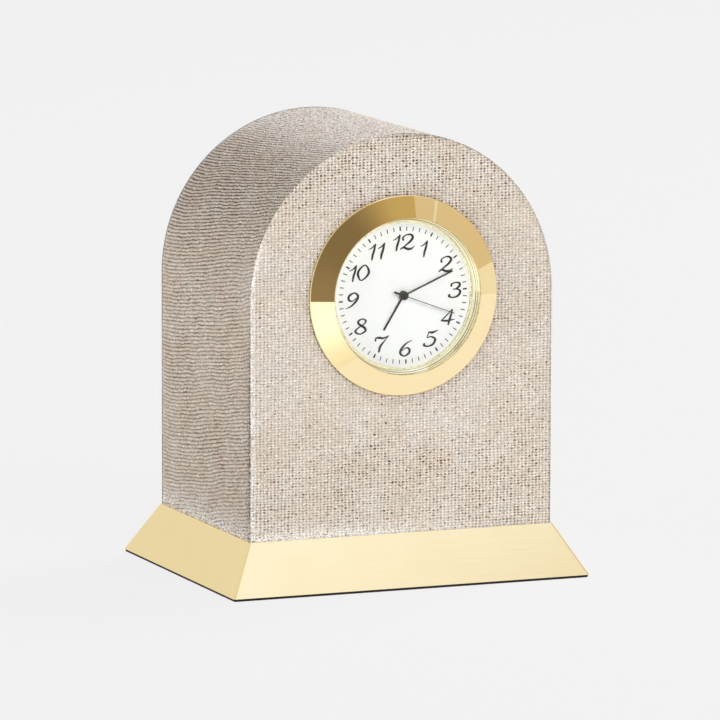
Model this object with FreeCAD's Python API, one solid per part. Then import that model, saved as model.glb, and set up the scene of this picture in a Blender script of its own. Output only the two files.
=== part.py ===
import FreeCAD
import Part
import math
import os

# Round-topped shelf clock: a cloth-covered wooden arch on a metal plinth, with a push-fit quartz insert.
# Millimetres. X is to the viewer's right, the dial faces -Y and Z is up.
# The origin is the middle of the underside, on the surface that the clock stands on.

# Arch
overall_height = 82.4
body_width = 58.7
body_depth = 46.0
cloth_thickness = 0.35
bore_depth = 10.0

# Plinth
plinth_height = 9.6
plinth_ledge = 0.35
plinth_flare_x = 5.1
plinth_flare_y = 5.5
plinth_sheet = 0.8
plinth_corner = 0.6
filler_gap = 0.05
pad_thickness = 0.52
pad_inset = 0.12
screw_spacing = 30.0
screw_shank_radius = 1.75
screw_head_radius = 3.4
screw_head_height = 2.1
screw_reach = 16.0
screw_hole_gap = 0.05

# Facets of pins and pivots, of small knobs and heads, and of the hidden rings behind the bezel
pin_sides = 10
knob_sides = 20
case_sides = 48

# Shared clearances
seat_gap = 0.02
press_gap = 0.005
running_gap = 0.03
cut_overrun = 1.0

# Bezel and lens
insert_twist_deg = 2.8
bezel_overhang = 0.8
bezel_width = 4.05
bezel_edge_height = 0.41
bezel_rim_height = 2.45
lens_overlap = 0.4
lens_thickness = 0.8
lens_setback = 0.45
ring_width = 1.05
ring_setback = 0.05

# Dial and case of the insert
dial_thickness = 0.4
dial_hole_radius = 0.85
case_wall = 0.6
case_fit_gap = 0.1
back_clearance = 0.1
back_thickness = 0.5
pry_notch_width = 4.0
pry_notch_depth = 0.9
sleeve_start = 0.9
sleeve_length = 3.6
sleeve_thickness = 0.6
sleeve_bore_gap = 0.05
sleeve_split_gap = 0.4

# Movement plates
movement_radius = 12.95
holder_wall = 3.15
holder_gap = 0.05
motion_space = 0.85
plate_thickness = 0.7
train_space = 2.2
bridge_thickness = 0.4
bridge_centre_radius = 4.1
bridge_boss_radius = 1.15
post_radius = 0.8
stud_radius = 0.2
pivot_radius = 0.08
small_screw_shank = 0.28
small_screw_head = 0.6
small_screw_head_height = 0.22
small_screw_reach = 0.9

# Places on the main plate, as shares of its radius
bridge_post_shares = [(-0.386, 0.170), (0.340, 0.178), (0.046, -0.417)]
clip_post_share = (0.093, -0.687)
cell_place_share = (0.44, -0.485)
coil_end_share = (0.556, 0.683)
lever_pivot_share = (0.734, -0.216)
board_inner_share = 0.51
board_outer_share = 0.945
crystal_place_share = 0.745

# Gear train: teeth and modules
rotor_leaves = 6
fifth_teeth = 36
fifth_leaves = 8
second_teeth = 40
second_leaves = 6
third_teeth = 45
third_leaves = 6
centre_teeth = 48
cannon_leaves = 8
minute_teeth = 24
minute_leaves = 6
hour_teeth = 24
setting_teeth = 12
rotor_module = 0.085
second_module = 0.115
centre_module = 0.105
cannon_module = 0.15
addendum_share = 0.8
dedendum_share = 1.1
tooth_root_share = 0.60
tooth_tip_share = 0.22
fifth_direction_deg = 90.0
third_direction_deg = 210.0
minute_direction_deg = -35.0

# Heights in the train, measured back from the plate's train face, and wheel thicknesses
wheel_thickness = 0.2
thin_wheel_thickness = 0.15
leaf_overlap = 0.05
centre_wheel_level = 0.18
third_wheel_level = 0.8
second_wheel_level = 1.33
arbor_end_gap = 0.1
hour_wheel_level = 0.13
minute_wheel_level = 0.43

# Centre arbors, from the inside out
second_arbor_radius = 0.12
centre_pipe_wall = 0.1
cannon_pipe_wall = 0.15
hour_pipe_wall = 0.14

# Hands
hand_thickness = 0.12
hour_hand_lift = 0.16
hand_step = 0.2
hour_hand_length = 7.25
hour_hand_width = 0.34
minute_hand_clearance = 2.75
minute_hand_width = 0.27
second_hand_clearance = 2.6
second_hand_tail = 2.1
second_hand_width = 0.14
second_tail_width = 0.34
hand_boss_radius = 0.76
second_boss_radius = 0.8
second_cap_height = 0.1
hour_reading_deg = 214.6
minute_reading_deg = 69.7
second_reading_deg = 113.4

# Motor, circuit and cell
magnet_radius = 0.65
magnet_thickness = 0.4
stator_hole_gap = 0.14
stator_thickness = 0.4
stator_bar_width = 2.3
core_width = 1.0
core_thickness = 0.4
core_end_radius = 1.05
winding_radius = 0.75
winding_end_gap = 0.75
coil_pocket_gap = 0.12
board_thickness = 0.2
board_start_deg = 172.0
board_end_deg = 262.0
chip_radius = 1.5
chip_height = 0.7
chip_direction_deg = 238.0
crystal_radius = 0.6
crystal_length = 4.6
crystal_direction_deg = 192.0
cell_radius = 3.4
cell_thickness = 2.1
cell_bottom_gap = 0.05
clip_thickness = 0.15
clip_width = 1.8
clip_overreach = 1.2

# Stem, crown and setting parts
stem_radius = 0.3
stem_inner_place = 4.95
stem_square_side = 0.3
stem_square_length = 1.9
stem_pull = 0.8
clutch_radius = 0.55
clutch_leaves = 10
clutch_length = 1.1
clutch_place = 5.3
clutch_bore_gap = 0.03
channel_half_width = 0.75
channel_start = 4.85
bearing_length = 2.2
bearing_gap = 0.04
groove_width = 0.4
groove_radius = 0.18
crown_radius = 1.05
crown_length = 1.9
crown_recess = 0.6
crown_ridges = 16
crown_ridge_depth = 0.12
crown_window_gap = 0.07
crown_side_gap = 0.25
lever_thickness = 0.2
lever_gap = 0.05
lever_boss_radius = 0.6
lever_arm_width = 0.5
lever_pin_radius = 0.15
lever_pin_drop = 0.55
lever_pin_side = 0.38

# Radii of the insert, worked out from the movement outwards and then back in to the dial's opening
case_inner = movement_radius + 2 * holder_gap + holder_wall
case_outer = case_inner + case_wall
dial_radius = case_inner - case_fit_gap
bore_radius = case_outer + sleeve_thickness + sleeve_bore_gap
bezel_radius = bore_radius + bezel_overhang
bezel_rim_radius = bezel_radius - bezel_width
lens_radius = bezel_rim_radius + lens_overlap
ring_top_radius = bezel_rim_radius - ring_setback
ring_inner_radius = ring_top_radius - ring_width
minute_hand_length = ring_inner_radius - minute_hand_clearance
second_hand_length = ring_inner_radius - second_hand_clearance

# Heights worked out from the sizes above, in the insert's frame: zero at the cloth's face, positive forward
arch_radius = body_width / 2
dial_height = overall_height - arch_radius
dial_back = -dial_thickness
lens_front = bezel_rim_height - lens_setback
lens_back = lens_front - lens_thickness
plate_front = dial_back - seat_gap - motion_space
plate_back = plate_front - plate_thickness
bridge_front = plate_back - train_space
bridge_back = bridge_front - bridge_thickness
holder_back = bridge_back - seat_gap - small_screw_head_height - back_clearance
case_rear = holder_back - seat_gap - back_thickness
stem_level = (plate_front + plate_back) / 2
centre_pipe_inner = second_arbor_radius + running_gap
centre_pipe_outer = centre_pipe_inner + centre_pipe_wall
cannon_inner = centre_pipe_outer + running_gap
cannon_outer = cannon_inner + cannon_pipe_wall
hour_pipe_inner = cannon_outer + running_gap
hour_pipe_outer = hour_pipe_inner + hour_pipe_wall
hour_hand_top = hour_hand_lift + hand_thickness
minute_hand_top = hour_hand_top + hand_step
second_hand_top = minute_hand_top + hand_step

# Gear sizes that share a centre distance
third_distance = centre_module * (centre_teeth + third_leaves) / 2
third_module = 2 * third_distance / (third_teeth + second_leaves)
fifth_distance = second_module * (second_teeth + fifth_leaves) / 2
rotor_distance = rotor_module * (fifth_teeth + rotor_leaves) / 2
minute_distance = cannon_module * (cannon_leaves + minute_teeth) / 2
hour_module = 2 * minute_distance / (minute_leaves + hour_teeth)
setting_distance = cannon_module * (minute_teeth + setting_teeth) / 2


def polar(distance, angle_deg):
    """Point at a distance and a direction from the dial's centre, counter-clockwise from 3 o'clock."""
    angle = math.radians(angle_deg)
    return FreeCAD.Vector(distance * math.cos(angle), distance * math.sin(angle), 0)


def share_point(shares, size):
    """Point given as shares of a size."""
    return FreeCAD.Vector(shares[0] * size, shares[1] * size, 0)


fifth_place = polar(fifth_distance, fifth_direction_deg)
rotor_place = polar(fifth_distance + rotor_distance, fifth_direction_deg)
third_place = polar(third_distance, third_direction_deg)
minute_place = polar(minute_distance, minute_direction_deg)
setting_rise = -minute_place.y
setting_place = FreeCAD.Vector(minute_place.x + math.sqrt(setting_distance ** 2 - setting_rise ** 2), 0, 0)
bridge_posts = [share_point(shares, movement_radius) for shares in bridge_post_shares]
clip_post = share_point(clip_post_share, movement_radius)
cell_place = share_point(cell_place_share, movement_radius)
lever_pivot = share_point(lever_pivot_share, movement_radius)
coil_end = share_point(coil_end_share, movement_radius)
coil_ends = [FreeCAD.Vector(side * coil_end.x, coil_end.y, 0) for side in (-1, 1)]
winding_length = 2 * (coil_end.x - core_end_radius - winding_end_gap)


def ring_points(radius, sides, height, place=FreeCAD.Vector()):
    """Corners of a regular outline inside a circle, at a height."""
    corners = [polar(radius, 360 * side / sides) + place for side in range(sides)]
    return [FreeCAD.Vector(corner.x, corner.y, height) for corner in corners]


def flat_face(points):
    """Flat face with straight edges."""
    return Part.Face(Part.makePolygon(points + points[:1]))


def rod(radius, sides, low, high, place=FreeCAD.Vector()):
    """Upright bar between two heights, with a regular outline inside a circle."""
    return flat_face(ring_points(radius, sides, low, place)).extrude(FreeCAD.Vector(0, 0, high - low))


def cutter(radius, sides, low, high, place=FreeCAD.Vector()):
    """Upright bar with a regular outline outside a circle, so that a round bar turns in what it cuts."""
    return rod(radius / math.cos(math.pi / sides), sides, low, high, place)


def hole(radius, sides, low, high, place=FreeCAD.Vector()):
    """Cutter that runs past both heights."""
    return cutter(radius, sides, low - cut_overrun, high + cut_overrun, place)


def tube(outer, inner, sides, low, high):
    """Upright tube on the dial's axis between two heights."""
    return rod(outer, sides, low, high).cut(hole(inner, sides, low, high))


def frustum(foot, top):
    """Solid with flat sides between two outlines of as many corners."""
    faces = [flat_face(foot[::-1]), flat_face(top)]
    for index in range(len(foot)):
        faces.append(flat_face([foot[index - 1], foot[index], top[index], top[index - 1]]))
    return Part.Solid(Part.Shell(faces))


def taper(low_radius, high_radius, sides, low, high, place=FreeCAD.Vector()):
    """Upright cone stub with a regular outline."""
    return frustum(ring_points(low_radius, sides, low, place), ring_points(high_radius, sides, high, place))


def block(left, right, bottom, top, low, high):
    """Box between two values on each axis."""
    corner = FreeCAD.Vector(left, bottom, low)
    return Part.makeBox(right - left, top - bottom, high - low, corner)


def turned(profile):
    """Solid of revolution about Z of a closed outline of (radius, height) points."""
    face = flat_face([FreeCAD.Vector(radius, 0, height) for radius, height in profile])
    return face.revolve(FreeCAD.Vector(), FreeCAD.Vector(0, 0, 1), 360)


def plate_from(points, low, high):
    """Flat plate with straight edges between two heights."""
    corners = [FreeCAD.Vector(point.x, point.y, low) for point in points]
    return flat_face(corners).extrude(FreeCAD.Vector(0, 0, high - low))


def fused(first, others):
    """One solid from pieces that touch."""
    return first.multiFuse(others).removeSplitter()


def drilled(shape, cutters):
    """Shape less each of the cutters."""
    for tool in cutters:
        shape = shape.cut(tool)
    return shape


def strap(start, end, width, low, high):
    """Flat strip with round ends from one point to another."""
    along = (end - start).normalize()
    side = FreeCAD.Vector(-along.y, along.x, 0) * (width / 2)
    strip = plate_from([start - side, end - side, end + side, start + side], low, high)
    return fused(strip, [rod(width / 2, pin_sides, low, high, place) for place in (start, end)])


def laid(shape, place):
    """Upright shape laid along X, its foot moved to a place."""
    lying = shape.copy()
    lying.rotate(FreeCAD.Vector(), FreeCAD.Vector(0, 1, 0), 90)
    lying.translate(place)
    return lying


def moved(shape, place):
    """Shape shifted to a place on the plate."""
    shifted = shape.copy()
    shifted.translate(place)
    return shifted


def gear(teeth, module, low, high, turn):
    """Spur gear with straight-flanked teeth and one tooth centred on the direction turn, in radians."""
    pitch_radius = module * teeth / 2
    tip = pitch_radius + addendum_share * module
    root = pitch_radius - dedendum_share * module
    pitch = 2 * math.pi / teeth
    foot = tooth_root_share
    crest = tooth_tip_share
    flanks = ((root, -foot), (tip, -crest), (tip, crest), (root, foot))
    points = []
    for tooth in range(teeth):
        for radius, lean in flanks:
            angle = turn + tooth * pitch + lean * pitch / 2
            points.append(FreeCAD.Vector(radius * math.cos(angle), radius * math.sin(angle), 0))
    return plate_from(points, low, high)


def direction_of(start, end):
    """Direction in radians from one place to another."""
    return math.atan2(end.y - start.y, end.x - start.x)


def meshed_turn(turn, teeth, other_teeth, direction):
    """Turn of a gear that meshes with one at the given turn, lying in the given direction from it."""
    return direction + math.pi + (math.pi - (turn - direction) * teeth) / other_teeth


def in_clock(shape):
    """Shape of the insert moved from the insert's own frame to its place in the arch."""
    placed = shape.copy()
    placed.rotate(FreeCAD.Vector(), FreeCAD.Vector(0, 0, 1), insert_twist_deg)
    placed.rotate(FreeCAD.Vector(), FreeCAD.Vector(1, 0, 0), 90)
    placed.translate(FreeCAD.Vector(0, -body_depth / 2, dial_height))
    return placed


def arch_solid(inset, front, back):
    """Arch with a round top, drawn in from the outer outline, between two depths."""
    half = arch_radius - inset
    left_foot = FreeCAD.Vector(-half, front, plinth_height)
    right_foot = FreeCAD.Vector(half, front, plinth_height)
    left_spring = FreeCAD.Vector(-half, front, dial_height)
    right_spring = FreeCAD.Vector(half, front, dial_height)
    top = FreeCAD.Vector(0, front, dial_height + half)
    edges = [
        Part.LineSegment(left_foot, right_foot).toShape(),
        Part.LineSegment(right_foot, right_spring).toShape(),
        Part.Arc(right_spring, top, left_spring).toShape(),
        Part.LineSegment(left_spring, left_foot).toShape(),
    ]
    return Part.Face(Part.Wire(edges)).extrude(FreeCAD.Vector(0, back - front, 0))


def front_bore(depth):
    """Round hole bored into the front of the arch, behind the bezel."""
    return in_clock(cutter(bore_radius, case_sides, -depth, cut_overrun))


def screw_places():
    """The two wood screws that hold the plinth under the arch."""
    return [FreeCAD.Vector(side * screw_spacing / 2, 0, 0) for side in (-1, 1)]


def plinth_screw(place, gap):
    """Countersunk wood screw up through the plinth, or with a gap the hole that it needs."""
    neck = pad_thickness + screw_head_height
    tip = plinth_height + screw_reach + gap
    head = taper(screw_head_radius + gap, screw_shank_radius + gap, pin_sides, pad_thickness, neck, place)
    return fused(head, [rod(screw_shank_radius + gap, pin_sides, neck, tip, place)])


def screw_cutters():
    """Clearance holes for the plinth screws."""
    return [plinth_screw(place, screw_hole_gap) for place in screw_places()]


def arch_block():
    """Wooden core of the arch, with the blind bore for the insert and pilot holes for the plinth screws."""
    half_depth = body_depth / 2 - cloth_thickness
    core = arch_solid(cloth_thickness, -half_depth, half_depth).cut(front_bore(bore_depth))
    return drilled(core, screw_cutters())


def front_cover():
    """Cloth on the front, cut out round for the insert."""
    front = -body_depth / 2
    return arch_solid(0, front, front + cloth_thickness).cut(front_bore(bore_depth))


def back_cover():
    """Cloth on the back."""
    back = body_depth / 2
    return arch_solid(0, back - cloth_thickness, back)


def side_band():
    """Strip of ribbed cloth that runs up one side, over the top and down the other."""
    half_depth = body_depth / 2 - cloth_thickness
    outer = arch_solid(0, -half_depth, half_depth)
    return outer.cut(arch_solid(cloth_thickness, -half_depth, half_depth))


def rectangle(width, depth, height):
    """Corners of a rectangle centred on Z, at a height."""
    signs = ((1, 1), (-1, 1), (-1, -1), (1, -1))
    return [FreeCAD.Vector(sx * width / 2, sy * depth / 2, height) for sx, sy in signs]


def rounded(shape, radius):
    """Shape with its upright or sloping edges rounded."""
    edges = [edge for edge in shape.Edges if edge.BoundBox.ZLength > seat_gap]
    return shape.makeFillet(radius, edges)


def plinth_slice(inset, low, high):
    """Slice of the plinth's sloped form between two heights, drawn in from its faces."""
    outlines = []
    for height in (low, high):
        share = (plinth_height - height) / (plinth_height - pad_thickness)
        width = body_width + 2 * plinth_ledge + 2 * plinth_flare_x * share - 2 * inset
        depth = body_depth + 2 * plinth_flare_y * share - 2 * inset
        outlines.append(rectangle(width, depth, height))
    return frustum(outlines[0], outlines[1])


def plinth_shell():
    """Folded sheet-metal plinth, open underneath."""
    outer = rounded(plinth_slice(0, pad_thickness, plinth_height), plinth_corner)
    inner = plinth_slice(plinth_sheet, pad_thickness - cut_overrun, plinth_height - plinth_sheet)
    shell = outer.cut(inner)
    return drilled(shell, screw_cutters())


def plinth_filler():
    """Wooden filler inside the plinth, which the screws pull against."""
    top = plinth_height - plinth_sheet - filler_gap
    filler = plinth_slice(plinth_sheet + filler_gap, pad_thickness, top)
    return drilled(filler, screw_cutters())


def plinth_screws():
    """The two wood screws, as one group."""
    return Part.Compound([plinth_screw(place, 0) for place in screw_places()])


def base_pad():
    """Felt pad under the plinth."""
    width = body_width + 2 * plinth_ledge + 2 * plinth_flare_x - 2 * pad_inset
    depth = body_depth + 2 * plinth_flare_y - 2 * pad_inset
    return rounded(frustum(rectangle(width, depth, 0), rectangle(width, depth, pad_thickness)), plinth_corner)


def bezel():
    """Polished bezel: a cone that rises to an inner rim, with a seat behind for the lens."""
    cone = turned([
        (bezel_radius, seat_gap),
        (bezel_radius, bezel_edge_height),
        (bezel_rim_radius, bezel_rim_height),
        (bezel_rim_radius, seat_gap),
    ])
    return cone.cut(cutter(lens_radius, case_sides, seat_gap - cut_overrun, lens_front + seat_gap))


def lens():
    """Flat mineral-glass lens, pressed into the bezel."""
    return rod(lens_radius, case_sides, lens_back, lens_front)


def dial_ring():
    """Sloped polished ring between the lens and the dial."""
    ring = rod(lens_radius, case_sides, seat_gap, lens_back - seat_gap)
    well = turned([(0, seat_gap), (ring_inner_radius, seat_gap), (ring_top_radius, lens_back - seat_gap),
                   (0, lens_back - seat_gap)])
    return ring.cut(well)


def dial():
    """Dial disc with its centre hole."""
    plain = rod(dial_radius, case_sides, dial_back, 0)
    return plain.cut(hole(dial_hole_radius, knob_sides, dial_back, 0))


def crown_window(half_width, inner, outer):
    """Opening in the side of the insert, where the crown is reached."""
    reach = crown_radius + crown_window_gap
    return block(inner, outer, -half_width, half_width, stem_level - reach, stem_level + reach)


def insert_case():
    """Drawn case round the dial and the movement, with a window for the crown."""
    shell = tube(case_outer, case_inner, case_sides, case_rear, 0)
    half_width = crown_radius + 2 * crown_side_gap
    return shell.cut(crown_window(half_width, movement_radius, case_outer + cut_overrun))


def grip_sleeve():
    """Rubber sleeve that grips the bore, split at the crown's window."""
    high = -sleeve_start
    low = high - sleeve_length
    sleeve = tube(bore_radius - sleeve_bore_gap, case_outer + seat_gap, case_sides, low, high)
    gap = crown_radius + 2 * crown_side_gap + sleeve_split_gap
    return sleeve.cut(block(0, bore_radius + cut_overrun, -gap, gap, low - cut_overrun, high + cut_overrun))


def movement_holder():
    """Moulded ring that centres the movement in the case."""
    outer = case_inner - holder_gap
    ring = tube(outer, movement_radius + holder_gap, case_sides, holder_back, dial_back - seat_gap)
    return ring.cut(crown_window(crown_radius + crown_side_gap, 0, case_outer + cut_overrun))


def case_back():
    """Snap-in back of the insert, with a pry notch in its edge."""
    edge = case_inner - holder_gap
    cover = rod(edge, case_sides, case_rear, case_rear + back_thickness)
    half = pry_notch_width / 2
    notch = block(-half, half, -edge - cut_overrun, pry_notch_depth - edge,
                  case_rear - cut_overrun, case_rear + back_thickness / 2)
    return cover.cut(notch)


def cell_back():
    """Height of the button cell's rear face."""
    return plate_back - cell_bottom_gap - cell_thickness


def lever_front():
    """Height of the setting lever's face towards the plate."""
    return plate_back - lever_gap


def main_plate():
    """Main plate: a disc with posts, studs, pivot holes, the stem's channel and a pocket for the coil."""
    posts = [rod(post_radius, pin_sides, bridge_front, plate_back, post) for post in bridge_posts]
    posts.append(rod(post_radius, pin_sides, cell_back() - seat_gap, plate_back, clip_post))
    posts.append(rod(stud_radius, pin_sides, plate_front, dial_back - hour_wheel_level, minute_place))
    posts.append(rod(stud_radius, pin_sides, plate_front, dial_back - minute_wheel_level, setting_place))
    lever_stud_end = lever_front() - lever_thickness - lever_gap
    posts.append(rod(stud_radius, pin_sides, lever_stud_end, plate_back, lever_pivot))
    plate = fused(rod(movement_radius, case_sides, plate_back, plate_front), posts)
    low = bridge_front
    high = plate_front
    cutters = [hole(centre_pipe_outer + running_gap, pin_sides, low, high)]
    cutters += [hole(pivot_radius + running_gap, pin_sides, low, high, place)
                for place in (fifth_place, third_place, rotor_place)]
    cutters += [hole(small_screw_shank + press_gap, pin_sides, low, high, place)
                for place in bridge_posts + [clip_post] + coil_ends]
    bearing_start = movement_radius - bearing_length
    slit = stem_radius + bearing_gap
    cutters.append(block(channel_start, bearing_start, -channel_half_width, channel_half_width,
                         low - cut_overrun, high + cut_overrun))
    cutters.append(block(bearing_start, movement_radius + cut_overrun, -slit, slit, low, high + cut_overrun))
    side = winding_radius + coil_pocket_gap
    length = winding_length / 2 + coil_pocket_gap
    depth = side - stator_thickness - core_thickness / 2
    cutters.append(block(-length, length, coil_end.y - side, coil_end.y + side,
                         plate_back - cut_overrun, plate_back + depth))
    return drilled(plate, cutters)


def train_bridge():
    """Bridge over the train, with a boss on each post and one over the rotor."""
    low = bridge_back
    high = bridge_front - seat_gap
    width = 2 * bridge_boss_radius
    arms = [strap(FreeCAD.Vector(), place, width, low, high) for place in bridge_posts + [rotor_place]]
    bridge = fused(rod(bridge_centre_radius, knob_sides, low, high), arms)
    cutters = [hole(small_screw_shank + press_gap, pin_sides, low, high, post) for post in bridge_posts]
    cutters += [hole(pivot_radius + running_gap, pin_sides, low, high, place)
                for place in (fifth_place, third_place, rotor_place)]
    cutters.append(hole(second_arbor_radius + running_gap, pin_sides, low, high))
    return drilled(bridge, cutters)


def stator():
    """Soft-iron stator: a bar round the rotor with an arm up to each end of the coil."""
    low = plate_back - stator_thickness
    high = plate_back
    half = stator_bar_width / 2
    bar = block(coil_ends[0].x, coil_ends[1].x, rotor_place.y - half, rotor_place.y + half, low, high)
    arms = [strap(FreeCAD.Vector(end.x, rotor_place.y, 0), end, 2 * half, low, high) for end in coil_ends]
    cutters = [hole(magnet_radius + stator_hole_gap, knob_sides, low, high, rotor_place)]
    cutters += [hole(small_screw_shank + press_gap, pin_sides, low, high, place) for place in coil_ends]
    return drilled(fused(bar, arms), cutters)


def coil_core():
    """Flat iron core of the coil, with an eye at each end over the stator's arms."""
    high = plate_back - stator_thickness
    low = high - core_thickness
    half = core_width / 2
    bar = block(-coil_end.x, coil_end.x, coil_end.y - half, coil_end.y + half, low, high)
    core = fused(bar, [rod(core_end_radius, pin_sides, low, high, place) for place in coil_ends])
    eyes = [hole(small_screw_shank + press_gap, pin_sides, low, high, place) for place in coil_ends]
    return drilled(core, eyes)


def coil_winding():
    """Copper winding on the core."""
    level = plate_back - stator_thickness - core_thickness / 2
    half = winding_length / 2
    coil = laid(rod(winding_radius, knob_sides, -half, half), FreeCAD.Vector(0, coil_end.y, level))
    side = core_width / 2 + press_gap
    lift = core_thickness / 2 + press_gap
    return coil.cut(block(-winding_length, winding_length, coil_end.y - side, coil_end.y + side,
                          level - lift, level + lift))


def circuit_board():
    """Circuit board: a sector of a ring on the plate, with its sealed chip."""
    low = plate_back - board_thickness
    inner = board_inner_share * movement_radius
    outer = board_outer_share * movement_radius
    span = board_end_deg - board_start_deg
    steps = round(case_sides * span / 360)
    turns = [board_start_deg + span * step / steps for step in range(steps + 1)]
    corners = [polar(outer, turn) for turn in turns] + [polar(inner, turn) for turn in reversed(turns)]
    chip_place = polar((inner + outer) / 2, chip_direction_deg)
    chip = taper(chip_radius / 2, chip_radius, pin_sides, low - chip_height, low, chip_place)
    return fused(plate_from(corners, low, plate_back), [chip])


def quartz_crystal():
    """Crystal can lying on the circuit board."""
    can = laid(rod(crystal_radius, pin_sides, -crystal_length / 2, crystal_length / 2), FreeCAD.Vector())
    can.rotate(FreeCAD.Vector(), FreeCAD.Vector(0, 0, 1), crystal_direction_deg + 90)
    centre = polar(crystal_place_share * movement_radius, crystal_direction_deg)
    return moved(can, centre + FreeCAD.Vector(0, 0, plate_back - board_thickness - crystal_radius))


def battery():
    """Button cell."""
    return rod(cell_radius, knob_sides, cell_back(), plate_back - cell_bottom_gap, cell_place)


def battery_clip():
    """Spring clip that holds the cell down and carries its positive side to the plate."""
    high = cell_back() - seat_gap
    low = high - clip_thickness
    along = (cell_place - clip_post).normalize()
    clip = strap(clip_post, cell_place + along * clip_overreach, clip_width, low, high)
    return clip.cut(hole(small_screw_shank + press_gap, pin_sides, low, high, clip_post))


def small_screw(place, seat):
    """Screw whose head sits on a face at the given height."""
    shank = rod(small_screw_shank, pin_sides, seat, seat + small_screw_reach, place)
    return fused(rod(small_screw_head, pin_sides, seat - small_screw_head_height, seat, place), [shank])


def movement_screws():
    """The movement's identical small screws, as one group."""
    screws = [small_screw(post, bridge_back - seat_gap) for post in bridge_posts]
    core_back = plate_back - stator_thickness - core_thickness - seat_gap
    screws += [small_screw(place, core_back) for place in coil_ends]
    screws.append(small_screw(clip_post, cell_back() - clip_thickness - 2 * seat_gap))
    return Part.Compound(screws)


def arbor():
    """Thin arbor that runs in a hole of the plate and one of the bridge."""
    return rod(pivot_radius, pin_sides, bridge_back + arbor_end_gap, plate_front - arbor_end_gap)


def rotor_turn():
    """Turn of the rotor's pinion, which starts the train."""
    return direction_of(rotor_place, fifth_place)


def fifth_turns():
    """Turns of the fifth wheel, meshed with the rotor, and of its pinion, aimed at the second wheel."""
    wheel = meshed_turn(rotor_turn(), rotor_leaves, fifth_teeth, direction_of(rotor_place, fifth_place))
    return wheel, direction_of(fifth_place, FreeCAD.Vector())


def second_turns():
    """Turns of the second wheel, meshed with the fifth, and of its pinion, aimed at the third wheel."""
    towards = direction_of(fifth_place, FreeCAD.Vector())
    wheel = meshed_turn(fifth_turns()[1], fifth_leaves, second_teeth, towards)
    return wheel, direction_of(FreeCAD.Vector(), third_place)


def third_turns():
    """Turns of the third wheel, meshed with the second, and of its pinion, aimed at the centre wheel."""
    towards = direction_of(FreeCAD.Vector(), third_place)
    wheel = meshed_turn(second_turns()[1], second_leaves, third_teeth, towards)
    return wheel, direction_of(third_place, FreeCAD.Vector())


def minute_turns():
    """Turns of the minute wheel, meshed with the cannon pinion, and of its pinion, aimed at the centre."""
    towards = direction_of(FreeCAD.Vector(), minute_place)
    wheel = meshed_turn(towards, cannon_leaves, minute_teeth, towards)
    return wheel, direction_of(minute_place, FreeCAD.Vector())


def rotor():
    """Magnet rotor with its pinion."""
    low = plate_back - third_wheel_level - thin_wheel_thickness - leaf_overlap
    high = plate_back - arbor_end_gap
    pinion = gear(rotor_leaves, rotor_module, low, high - magnet_thickness, rotor_turn())
    magnet = rod(magnet_radius, knob_sides, high - magnet_thickness, high)
    return moved(fused(magnet, [pinion, arbor()]), rotor_place)


def fifth_wheel():
    """Wheel and pinion that pass the rotor's drive to the second wheel."""
    wheel_turn, pinion_turn = fifth_turns()
    high = plate_back - third_wheel_level
    low = high - thin_wheel_thickness
    end = plate_back - second_wheel_level - wheel_thickness - leaf_overlap
    wheel = gear(fifth_teeth, rotor_module, low, high, wheel_turn)
    pinion = gear(fifth_leaves, second_module, end, low, pinion_turn)
    return moved(fused(wheel, [pinion, arbor()]), fifth_place)


def second_wheel():
    """Centre-seconds arbor with its wheel and pinion, which carries the second hand."""
    wheel_turn, pinion_turn = second_turns()
    high = plate_back - second_wheel_level
    wheel = gear(second_teeth, second_module, high - wheel_thickness, high, wheel_turn)
    top = plate_back - third_wheel_level + leaf_overlap
    pinion = gear(second_leaves, third_module, high, top, pinion_turn)
    shaft = rod(second_arbor_radius, pin_sides, bridge_back + arbor_end_gap, second_hand_top)
    return fused(wheel, [pinion, shaft])


def third_wheel():
    """Wheel and pinion that slow the second arbor down to the centre wheel."""
    wheel_turn, pinion_turn = third_turns()
    high = plate_back - third_wheel_level
    wheel = gear(third_teeth, third_module, high - thin_wheel_thickness, high, wheel_turn)
    top = plate_back - centre_wheel_level + leaf_overlap
    pinion = gear(third_leaves, centre_module, high, top, pinion_turn)
    return moved(fused(wheel, [pinion, arbor()]), third_place)


def centre_wheel():
    """Centre wheel on a long pipe, which turns the cannon pinion by friction."""
    towards = direction_of(third_place, FreeCAD.Vector())
    turn = meshed_turn(third_turns()[1], third_leaves, centre_teeth, towards)
    high = plate_back - centre_wheel_level
    low = high - wheel_thickness
    top = minute_hand_top - hand_thickness
    pipe = rod(centre_pipe_outer, pin_sides, low, top)
    wheel = fused(gear(centre_teeth, centre_module, low, high, turn), [pipe])
    return wheel.cut(hole(centre_pipe_inner, pin_sides, low, top))


def cannon_pinion():
    """Cannon pinion: leaves on a pipe that carries the minute hand."""
    low = plate_front + 2 * seat_gap
    high = dial_back - minute_wheel_level + leaf_overlap
    leaves = gear(cannon_leaves, cannon_module, low, high, direction_of(FreeCAD.Vector(), minute_place))
    pinion = fused(leaves, [rod(cannon_outer, pin_sides, low, minute_hand_top)])
    return pinion.cut(hole(cannon_inner, pin_sides, low, minute_hand_top))


def minute_wheel():
    """Wheel and pinion between the cannon pinion and the hour wheel, on a stud of the plate."""
    wheel_turn, pinion_turn = minute_turns()
    high = dial_back - minute_wheel_level
    low = high - wheel_thickness
    top = dial_back - hour_wheel_level
    wheel = gear(minute_teeth, cannon_module, low, high, wheel_turn)
    whole = fused(wheel, [gear(minute_leaves, hour_module, high, top, pinion_turn)])
    return moved(whole.cut(hole(stud_radius + running_gap, pin_sides, low, top)), minute_place)


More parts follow.
